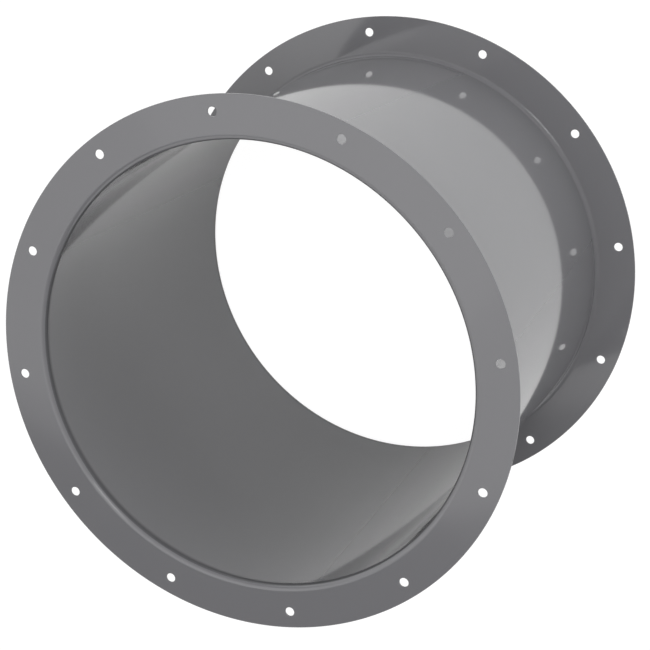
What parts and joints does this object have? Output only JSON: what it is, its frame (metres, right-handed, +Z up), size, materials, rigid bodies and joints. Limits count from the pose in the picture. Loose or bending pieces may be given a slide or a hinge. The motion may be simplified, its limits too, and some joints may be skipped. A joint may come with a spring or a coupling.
{
  "type": "duct connector",
  "caption": "Straight round duct connector of rolled sheet steel, both ends turned outwards into flat flanges with a ring of bolt holes, painted dark grey.",
  "frame": {"origin": "middle of the lower flange's outer face, on which the connector stands", "axes": "+Z up along the duct's axis, from the lower flange to the upper one; +X and +Y each fall between two bolt holes"},
  "size_m": [0.48, 0.48, 0.365],
  "materials": {
    "grey_paint": "smooth glossy dark grey stove enamel on sheet steel"
  },
  "bodies": {
    "root": {"duct_connector": "grey_paint"}
  },
  "joints": []
}
